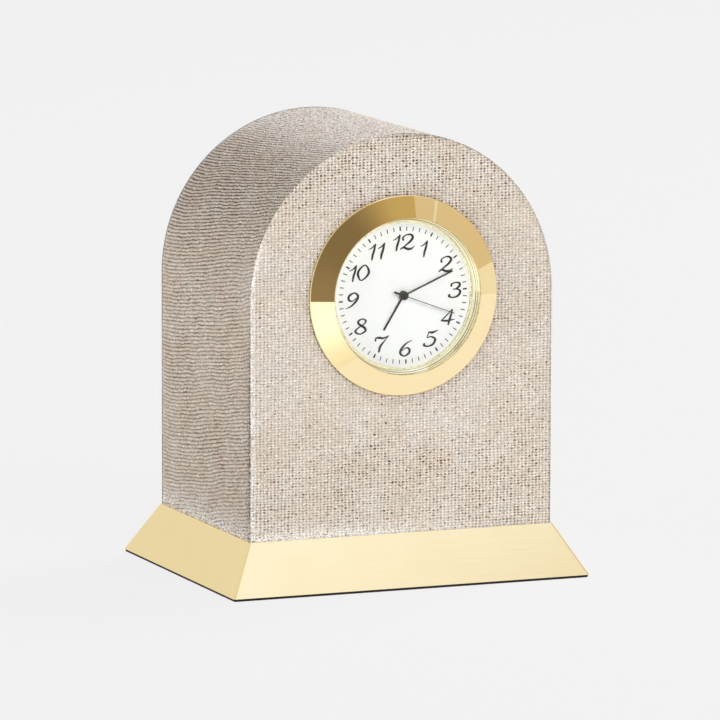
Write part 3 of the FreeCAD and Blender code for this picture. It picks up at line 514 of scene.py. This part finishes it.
def ribbed_band(name, seed):
    """Ribs that run from front to back, a little askew as the strip was cut, and wander as they go.

    s is the way along the strip, up the right side, over the top and down the left side.
    """
    rng = np.random.default_rng(seed)
    straight, length = SPRING - BASE, BAND_LENGTH
    along_count = RIB_STEPS * round(length / RIB) + 1
    k, j = (g.ravel() for g in np.meshgrid(np.arange(along_count), np.arange(DEEP_STEPS), indexing="ij"))
    s = np.linspace(0, length, along_count)[k]
    y = np.linspace(FRONT + BAND_EDGE, BACK - BAND_EDGE, DEEP_STEPS)[j]
    low, from_top = np.minimum(s, length - s), np.abs(s - length / 2)
    rim = np.minimum(y - FRONT, BACK - y)

    # Counts of threads: ribs one behind the other along the strip, and the threads that cross them
    wander = MM * (
        0.34 * drift(s / (13 * MM), y / (9 * MM), seed + 1) + 0.13 * drift(s / (3.1 * MM), y / (3.0 * MM), seed + 2)
        + 0.07 * drift(s / (0.8 * MM), y / (1.5 * MM), seed + 8))
    deep = BACK - y
    bend = deep - BEND_REACH * (1 - np.exp(-deep / BEND_REACH))
    weft = (s + RIB_SKEW * bend + wander) / RIB
    warp = (y + 0.1 * MM * drift(s / (3 * MM), y / (2 * MM), seed + 3)) / CROSS_PITCH

    loose = np.clip(
        0.78 + 0.3 * drift(s / (15 * MM), y / (11 * MM), seed + 4)
        + 0.3 * drift(s / (2.2 * MM), y / (2.6 * MM), seed + 5), 0.15, 1.25)
    height = RIB_HIGH * (np.abs(np.cos(np.pi * weft)) ** 0.7 * (0.55 + 0.45 * loose) - 1.0) \
        + RIB_NOISE * rng.normal(0, 1, len(k)) + RIB_SWELL * drift(weft, y / (1.1 * MM), seed + 6)
    height = height * step(rim, BAND_EDGE, 0.7 * MM) - EDGE_DROP * (1 - step(rim, BAND_EDGE, 0.5 * MM))

    # The gaps open on the top. Painted shade darkens the gaps at the front and back edges, where the band meets the
    # sheets, and on the shoulders. The left side's front edge is dark with painted shade, and fluff shows at the base
    # and at the back edge, and on the top as fluff and painted light.
    painted_shoulder_shade = step(from_top, 9 * MM, 19 * MM) * step(from_top, 44 * MM, 26 * MM)
    loose = loose + 0.5 * (1 - step(rim, BAND_EDGE, 0.5 * MM)) + 0.6 * step(from_top, 24 * MM, 9 * MM) \
        + 0.9 * painted_shoulder_shade
    soil = 1.8 * near(y - FRONT - BAND_EDGE, 1.1) * step(length - s, 46 * MM, 26 * MM)
    fray = 1.25 * near(low, 2.6) + 0.72 * step(from_top, 21 * MM, 7 * MM) + 0.9 * near(BACK - y, 0.7)

    turn = np.clip((s - straight) / HALF, 0, math.pi)
    out_x, out_z = np.cos(turn), np.sin(turn)
    base_z = np.where(s < straight, BASE + s, np.where(s > straight + math.pi * HALF, BASE + length - s, SPRING))
    level = HALF + height
    points = np.stack([level * out_x, y, base_z + level * out_z], 1)

    run = np.arange(along_count)
    inner = np.concatenate([run * DEEP_STEPS, run * DEEP_STEPS + DEEP_STEPS - 1])
    tucked = points[inner].copy()
    tucked[:, 0] = (HALF - CLOTH) * out_x[inner]
    tucked[:, 2] = base_z[inner] + (HALF - CLOTH) * out_z[inner]
    size, front, back = len(points), run[:-1], along_count + run[:-1]
    front_side = np.stack([inner[front], size + front, size + front + 1, inner[front + 1]], 1)
    back_side = np.stack([inner[back], inner[back + 1], size + back + 1, size + back], 1)
    faces = np.concatenate([grid_faces(along_count, DEEP_STEPS), front_side, back_side])
    return make_object(name, np.concatenate([points, tucked]), faces, **with_rim(
        inner, warp=warp, weft=weft, loose=loose, fray=fray, soil=soil))


side_cloth = dress(ribbed_band("side_cloth", 53), "side_cloth", "case", "side_band")


# Felt pad

PAD_CORNER, PAD_AROUND, PAD_RAGGED = 0.55 * MM, 720, 0.0006
# Each row of points round the pad's side: its share of the outline, and of the pad's height
PAD_ROWS = ((0.985, 0.0), (0.998, 0.12), (1.0, 0.5), (0.998, 0.9), (0.985, 1.0))


def felt_pad(name, seed):
    """A pad with round corners and a slightly ragged side."""
    rng = np.random.default_rng(seed)
    path = []
    for sx, sy, start in ((1, 1, 0), (-1, 1, 90), (-1, -1, 180), (1, -1, 270)):
        for share in np.linspace(0, 1, 5):
            angle = math.radians(start + 90 * share)
            path.append((sx * (PAD_HIGH.x - PAD_CORNER) + PAD_CORNER * math.cos(angle),
                         sy * (PAD_HIGH.y - PAD_CORNER) + PAD_CORNER * math.sin(angle)))
    path = np.array(path + path[:1])
    walked = np.concatenate([[0], np.cumsum(np.hypot(*np.diff(path, axis=0).T))])
    at = np.arange(PAD_AROUND) / PAD_AROUND * walked[-1]
    x, y = np.interp(at, walked, path[:, 0]), np.interp(at, walked, path[:, 1])
    points = []
    for share, level in PAD_ROWS:
        ragged = 1 + rng.normal(0, PAD_RAGGED, PAD_AROUND)
        lift = PAD_LOW.z + level * (PAD_HIGH.z - PAD_LOW.z)
        points += list(zip(x * share * ragged, y * share * ragged, np.full(PAD_AROUND, lift)))
    rounds = [tuple(r * PAD_AROUND + i for i in range(PAD_AROUND)) for r in range(len(PAD_ROWS))]
    faces = [(under[i], under[(i + 1) % PAD_AROUND], over[(i + 1) % PAD_AROUND], over[i])
             for under, over in zip(rounds, rounds[1:]) for i in range(PAD_AROUND)]
    faces += [rounds[0][::-1], rounds[-1]]
    return make_object(name, np.array(points), faces, smooth=False)


felt = dress(felt_pad("felt_pad", 71), "felt", "case", "base_pad")


# Insert: turned rings

TURN_COUNT, HARD_ANGLE = 288, 35
# How far beside a small round the profile has one more point, in millimetres
FLAT_BESIDE = 0.03


def in_dial(across, up, forward):
    """A point of the insert, in millimetres right, up and forward of the dial's centre as the dial is turned."""
    x = across * math.cos(TWIST) - up * math.sin(TWIST)
    z = across * math.sin(TWIST) + up * math.cos(TWIST)
    return Vector((x * MM, DIAL_CENTRE.y - forward * MM, DIAL_CENTRE.z + z * MM))


def turned_ring(name, profile):
    """A closed profile of (radius, forward) in millimetres, turned about the dial's axis."""
    count = len(profile)
    angles = [2 * math.pi * i / TURN_COUNT for i in range(TURN_COUNT)]
    points = [in_dial(r * math.cos(t), r * math.sin(t), f) for t in angles for r, f in profile]
    faces = [(i * count + k, i * count + (k + 1) % count,
              (i + 1) % TURN_COUNT * count + (k + 1) % count, (i + 1) % TURN_COUNT * count + k)
             for i in range(TURN_COUNT) for k in range(count)]
    return make_object(name, np.array([tuple(p) for p in points]), faces, sharp=HARD_ANGLE)


def rounded_corner(corner, before, after, radius, steps=4):
    """Points of a small round where a profile turns.

    One more point lies on the flat at each side, to keep the flat's shading.
    """
    c, b, a = (Vector(p) for p in (corner, before, after))
    to_b, to_a = (b - c).normalized(), (a - c).normalized()
    start, end = c + to_b * radius, c + to_a * radius
    curve = [tuple(start + to_b * FLAT_BESIDE)]
    for i in range(steps + 1):
        t = i / steps
        curve.append(tuple(start * (1 - t) ** 2 + c * 2 * t * (1 - t) + end * t ** 2))
    return curve + [tuple(end + to_a * FLAT_BESIDE)]


# Corners of the bezel as (radius, forward) in millimetres
OUTER_LOW, OUTER_TOP = (18.25, 0.03), (18.25, 0.41)
LIP_TOP, LIP_IN = (14.2, 2.45), (14.2, 2.02)
INNER_LOW, INNER_TOP = (14.66, 0.03), (14.66, 2.02)
BEZEL_PROFILE = [
    INNER_LOW, *rounded_corner(OUTER_LOW, INNER_LOW, OUTER_TOP, 0.05, 2),
    *rounded_corner(OUTER_TOP, OUTER_LOW, LIP_TOP, 0.16), *rounded_corner(LIP_TOP, OUTER_TOP, LIP_IN, 0.13),
    LIP_IN, INNER_TOP]
# Three steep steps, which mirror the dial's edge as three rings
RING_PROFILE = [
    (13.1, 0.03), (14.55, 0.03),
    (14.55, 1.17), (14.53, 1.18), (14.51, 1.17), (14.25, 0.9), (14.22, 0.9),
    (14.19, 1.07), (14.16, 1.09), (14.12, 1.07), (13.9, 0.84), (13.87, 0.84),
    (13.84, 0.96), (13.81, 0.98), (13.77, 0.97), (13.7, 0.91), (13.45, 0.65), (13.31, 0.44), (13.17, 0.12),
    (13.1, 0.08)]
dress(turned_ring("bezel_ring", BEZEL_PROFILE[::-1]), "bezel_gold", "insert", "bezel")
dress(turned_ring("inner_ring", RING_PROFILE), "ring_gold", "insert", "dial_ring")


# Insert: printing on the dial

# Strokes of each numeral as points (across, up, half the stroke's width), in shares of its height
DIGITS = {
    "0": [[(.33, 1, .03), (.1, .74, .05), (.05, .4, .06), (.22, .0, .03), (.47, .26, .05), (.52, .6, .06),
           (.33, 1, .03)]],
    "1": [[(.06, .7, .018), (.2, .8, .03), (.33, 1, .035)],
          [(.33, 1, .04), (.3, .6, .055), (.26, .3, .055), (.25, 0, .04)]],
    "2": [[(.1, .68, .055), (.08, .82, .04), (.2, .97, .03), (.4, .98, .045), (.52, .8, .062), (.45, .56, .055),
           (.24, .28, .035), (.03, .06, .03)],
          [(.03, .06, .03), (.16, .15, .045), (.34, .03, .058), (.5, .02, .045), (.64, .16, .018)]],
    "3": [[(.1, .8, .055), (.12, .92, .035), (.3, 1, .03), (.47, .9, .05), (.46, .72, .055), (.34, .59, .03),
           (.2, .55, .02)],
          [(.2, .55, .02), (.42, .52, .035), (.54, .32, .06), (.44, .07, .05), (.22, 0, .035), (.05, .1, .05),
           (.06, .2, .05)]],
    "4": [[(.46, 1, .02), (.3, .72, .03), (.03, .31, .032)], [(.03, .31, .03), (.28, .27, .048), (.62, .32, .02)],
          [(.48, .98, .03), (.43, .55, .055), (.38, .2, .055), (.36, 0, .04)]],
    "5": [[(.2, .95, .035), (.34, .9, .055), (.48, .95, .04), (.6, 1.03, .015)], [(.2, .95, .03), (.14, .6, .022)],
          [(.14, .58, .02), (.34, .62, .035), (.52, .42, .06), (.44, .1, .05), (.22, 0, .035), (.05, .08, .05),
           (.05, .18, .05)]],
    "6": [[(.54, 1, .015), (.32, .86, .035), (.12, .54, .055), (.07, .22, .06), (.25, .0, .035), (.46, .16, .055),
           (.46, .42, .055), (.31, .54, .03), (.12, .36, .018)]],
    "7": [[(.05, .76, .045), (.06, .92, .035), (.2, .93, .055), (.4, .87, .045), (.62, 1, .018)],
          [(.62, 1, .018), (.46, .68, .03), (.3, .34, .055), (.26, 0, .05)]],
    "8": [[(.3, 1, .03), (.13, .86, .05), (.2, .64, .055), (.42, .42, .06), (.5, .18, .05), (.27, 0, .03),
           (.05, .18, .05), (.15, .42, .035), (.38, .62, .03), (.47, .84, .045), (.3, 1, .03)]],
}
DIGITS["9"] = [[(.54 - x, 1 - y, w) for x, y, w in DIGITS["6"][0]]]
ADVANCE, ADVANCE_OF_ONE, SLANT = .56, .4, 0.17
WIDEN, EMBOLDEN = 1.62, 1.44
# Lengths on the dial in millimetres, and how high the first printed shape and each next one lies
DIGIT_HEIGHT, NUMERAL_RADIUS = 2.7, 9.72
TICK_IN, TICK_OUT, TICK_WIDTH, HOUR_TICK_WIDTH = 11.72, 12.5, 0.17, 0.29
INK, INK_STEP = 0.012, 0.0004
# Some numerals stand a little off their place, in millimetres across and up
NUDGES = {12: (0.3, -0.1), 1: (-0.5, -0.4), 2: (0.05, 0), 3: (0.4, 0)}
# Points of the round end of a stroke
END_POINTS = 12


def smooth_line(stroke, parts=7):
    """Catmull-Rom through a stroke's points, widths and all."""
    points = [np.array(p) for p in stroke]
    closed = bool(np.allclose(points[0], points[-1]))
    before = points[-2] if closed else 2 * points[0] - points[1]
    after = points[1] if closed else 2 * points[-1] - points[-2]
    full, line = [before, *points, after], []
    for p0, p1, p2, p3 in zip(full, full[1:], full[2:], full[3:]):
        for t in np.arange(parts) / parts:
            line.append(0.5 * (2 * p1 + (p2 - p0) * t + (2 * p0 - 5 * p1 + 4 * p2 - p3) * t ** 2
                               + (3 * p1 - p0 - 3 * p2 + p3) * t ** 3))
    return np.array(line + [points[-1]])


def advance(character):
    return ADVANCE_OF_ONE if character == "1" else ADVANCE


class Ink:
    """Flat printed shapes a hair above the dial, each a little higher than the last so that none share a plane."""

    def __init__(self):
        self.points, self.faces, self.level = [], [], INK

    def add(self, outline, faces):
        start = len(self.points)
        self.points += [tuple(in_dial(u, v, self.level)) for u, v in outline]
        self.faces += [tuple(start + i for i in f) for f in faces]
        self.level += INK_STEP

    def stroke(self, line):
        """A line of (across, up, half width), with round ends."""
        across = np.gradient(line[:, :2], axis=0)
        across /= np.maximum(np.hypot(*across.T), 1e-9)[:, None]
        normal = np.stack([-across[:, 1], across[:, 0]], 1)
        left, right = line[:, :2] + normal * line[:, 2:], line[:, :2] - normal * line[:, 2:]
        n = len(line)
        self.add([*left, *right], [(i, n + i, n + i + 1, i + 1) for i in range(n - 1)])
        for u, v, radius in (line[0], line[-1]):
            turns = np.linspace(0, 2 * math.pi, END_POINTS, endpoint=False)
            self.add([(u + radius * math.cos(t), v + radius * math.sin(t)) for t in turns], [range(END_POINTS)])

    def number(self, text, u, v, height):
        start = -sum(advance(c) for c in text) / 2
        for character in text:
            for stroke in DIGITS[character]:
                line = smooth_line(stroke)
                across = WIDEN * (start + line[:, 0]) + (line[:, 1] - 0.5) * SLANT
                up, half_width = line[:, 1] - 0.5, height * EMBOLDEN * line[:, 2]
                self.stroke(np.stack([u + height * across, v + height * up, half_width], 1))
            start += advance(character)


ink = Ink()
for minute in range(60):
    turn = 2 * math.pi * minute / 60
    width = HOUR_TICK_WIDTH if minute % 5 == 0 else TICK_WIDTH
    side, along = np.array((math.cos(turn), -math.sin(turn))), np.array((math.sin(turn), math.cos(turn)))
    ink.add([along * TICK_IN - side * width / 2, along * TICK_IN + side * width / 2,
             along * TICK_OUT + side * width / 2, along * TICK_OUT - side * width / 2], [(0, 1, 2, 3)])
for hour in range(1, 13):
    turn = 2 * math.pi * hour / 12
    across, up = NUDGES.get(hour, (0, 0))
    ink.number(str(hour), NUMERAL_RADIUS * math.sin(turn) + across, NUMERAL_RADIUS * math.cos(turn) + up, DIGIT_HEIGHT)
dress(make_object("dial_print", np.array(ink.points), ink.faces, smooth=False), "hand_black", "insert")


# Floor and world

# What the camera sees of the floor is mostly a glow, and takes light and shade for the rest. The metal
# mirrors a colour of its own.
FLOOR_SHARE, FLOOR_GLOW, FLOOR_IN_MIRRORS = 0.945, 0.993, (1.05, 1.06, 1.2, 1)
FLOOR_REACH, FLOOR_POINTS = 4.0, 96
WORLD_LIGHT = 0.06


def stage_mesh(name, points, faces, material):
    made = make_object(name, np.array(points), faces)
    made.data.materials.append(material)
    return made


def floor_material():
    s = Surface("floor_paper")
    rays = s.node("ShaderNodeLightPath").outputs
    paper_tone = s.mix(s.ramp(s.noise(30 * MM), 0.3, 0.7), tint(241, 241, 241), tint(242, 242, 242))
    diffuse = s.node("ShaderNodeBsdfDiffuse", {"Color": paper_tone})
    seen = s.mix_shaders(FLOOR_SHARE, diffuse, s.glow(tint(PAPER, PAPER, PAPER), FLOOR_GLOW))
    in_mirrors = s.largest(rays["Is Glossy Ray"], rays["Is Transmission Ray"])
    other = s.mix_shaders(in_mirrors, diffuse, s.glow(FLOOR_IN_MIRRORS))
    return s.finish(s.mix_shaders(rays["Is Camera Ray"], other, seen))


floor_ring = [(FLOOR_REACH * math.cos(t), FLOOR_REACH * math.sin(t), 0)
              for t in np.linspace(0, 2 * math.pi, FLOOR_POINTS, endpoint=False)]
stage_mesh("floor", floor_ring, [range(FLOOR_POINTS)], floor_material())

sky = Nodes(bpy.data.worlds.new("studio"), "ShaderNodeOutputWorld")
rays = sky.node("ShaderNodeLightPath").outputs
soft = sky.node("ShaderNodeBackground", {"Color": (1, 1, 1, 1), "Strength": WORLD_LIGHT})
paper = sky.node("ShaderNodeBackground", {"Color": tint(PAPER, PAPER, PAPER), "Strength": 1.0})
seen = sky.largest(rays["Is Camera Ray"], rays["Is Glossy Ray"], rays["Is Transmission Ray"])
bpy.context.scene.world = sky.finish(sky.mix_shaders(seen, soft, paper))


# Lamps

# Every lamp points at the middle of the clock
LAMP_AIM = (0, 0, 0.045)


def lamp(name, place, size, level):
    """A square soft lamp whose level is the share of white that it gives a white surface facing it at the object."""
    data = bpy.data.lights.new(name, "AREA")
    data.shape, data.size = "SQUARE", size
    away = Vector(place) - Vector(LAMP_AIM)
    data.energy = level * math.pi ** 2 * away.length_squared
    made = bpy.data.objects.new(name, data)
    made.location = place
    made.rotation_mode = "QUATERNION"
    made.rotation_quaternion = away.to_track_quat("Z", "Y")
    made.visible_glossy = False
    made.visible_camera = False
    bpy.context.scene.collection.objects.link(made)


lamp("lamp_top", (1.05, 0.32, 1.2), 0.9, 1.03)
lamp("lamp_front", (0.3, -1.25, 0.75), 0.9, 0.77)
lamp("lamp_left", (-1.4, -0.2, 0.06), 0.6, 0.9)


# Cards that only the metal mirrors

# Heights in degrees as seen from the dial: where the floor ends, and the tops of the cards
HORIZON, CARD_TOP, HIGH_TOP = -8.45, 43.3, 75
# How far off the cards are at the horizon, how much farther at their top, and the steps between
CARD_REACH, CARD_LEAN, CARD_STEPS = 0.357, 2.6, 24
# Colours of light, at most about 1 for white
DARK_WARM, DARK_DEEP, DARK_TOP = (np.array(c) for c in ((0.31, 0.25, 0.18), (0.24, 0.19, 0.13), (0.6, 0.48, 0.27)))
STREAK, RIGHT, RIGHT_LOW = (0.76, 0.68, 0.6), (0.77, 0.68, 0.56), (0.96, 0.95, 0.98)
HIGH = np.array((1.13, 1.25, 1.82))
PATCH_ADDED = np.array((0.6, 0.58, 0.75))


def glowing_sheet(name, rows, columns, points, glows):
    """A stage piece that only mirrors see, with a colour of light stored at each point of its grid."""
    s = Surface(name)
    material = s.finish(s.glow(s.stored("glow", "Color")))
    made = stage_mesh(name, points, grid_faces(rows, columns), material)
    made.data.attributes.new("glow", "FLOAT_COLOR", "POINT").data.foreach_set("color", glows)
    made.visible_camera = made.visible_diffuse = made.visible_transmission = made.visible_shadow = False


def card(name, azimuths, low, high, glow):
    """Part of a shell round the dial, in degrees as seen from it, that leans back as it rises."""
    points, glows = [], []
    for azimuth in azimuths:
        for elevation in np.linspace(low, high, CARD_STEPS):
            share = float(elevation - HORIZON) / (CARD_TOP - HORIZON)
            reach = CARD_REACH + CARD_LEAN * share
            az, el = math.radians(azimuth), math.radians(elevation)
            way = Vector((math.sin(az) * math.cos(el), -math.cos(az) * math.cos(el), math.sin(el)))
            points.append(tuple(DIAL_CENTRE + reach * way))
            glows += [*glow(float(azimuth), share), 1.0]
    glowing_sheet(name, len(azimuths), CARD_STEPS, points, glows)


def dark_glow(azimuth, share):
    deep = DARK_WARM + (DARK_DEEP - DARK_WARM) * float(step(share, 0.05, 0.6))
    return deep + (DARK_TOP - deep) * float(step(azimuth, -16, 26))


def high_glow(azimuth, share):
    return HIGH * (1.16 - 0.0045 * azimuth)


def even_glow(colour):
    return lambda azimuth, share: colour


card("card_dark", np.linspace(-40, 37.0, 60), HORIZON, CARD_TOP, dark_glow)
card("card_streak", np.linspace(37.0, 49.5, 8), HORIZON, CARD_TOP, even_glow(STREAK))
card("card_right", np.linspace(51.0, 122, 30), 2.8, CARD_TOP, even_glow(RIGHT))
card("card_low", np.linspace(51.0, 122, 30), HORIZON, 2.8, even_glow(RIGHT_LOW))
card("card_high", np.linspace(5, 75, 30), 44.5, HIGH_TOP, high_glow)

# A bright patch of the floor, left of the front, for the lower left of the bezel
patch, patch_glow = [], []
azimuths, reaches = np.linspace(-72, 20, 37), np.linspace(0.045, 0.345, 16)
for azimuth in azimuths:
    for reach in reaches:
        az = math.radians(azimuth)
        patch.append((reach * math.sin(az), FRONT - reach * math.cos(az), 0.5 * MM))
        share = float(step(reach, 0.04, 0.11)) * (1 - float(step(abs(azimuth + 26), 14, 44)))
        patch_glow += [*(1.0 + share * PATCH_ADDED), 1.0]
glowing_sheet("card_floor", len(azimuths), len(reaches), patch, patch_glow)


# Camera

back = Vector((-math.sin(AZIMUTH) * math.cos(ELEVATION), -math.cos(AZIMUTH) * math.cos(ELEVATION), math.sin(ELEVATION)))
right = (-back).cross(Vector((0, 0, 1))).normalized()
up = right.cross(-back)
rolled = right * math.cos(ROLL) + up * math.sin(ROLL)
risen = -right * math.sin(ROLL) + up * math.cos(ROLL)
camera = bpy.data.objects.new("camera", bpy.data.cameras.new("camera"))
camera.data.sensor_width, camera.data.lens = SENSOR, FOCAL_PIXELS / IMAGE_PIXELS * SENSOR
camera.data.clip_start, camera.data.clip_end = 0.05, 20.0
camera.matrix_world = Matrix.Translation(TARGET + back * DISTANCE) @ Matrix((rolled, risen, back)).transposed().to_4x4()
bpy.context.scene.collection.objects.link(camera)
bpy.context.scene.camera = camera
bpy.context.scene.view_settings.view_transform = "Standard"
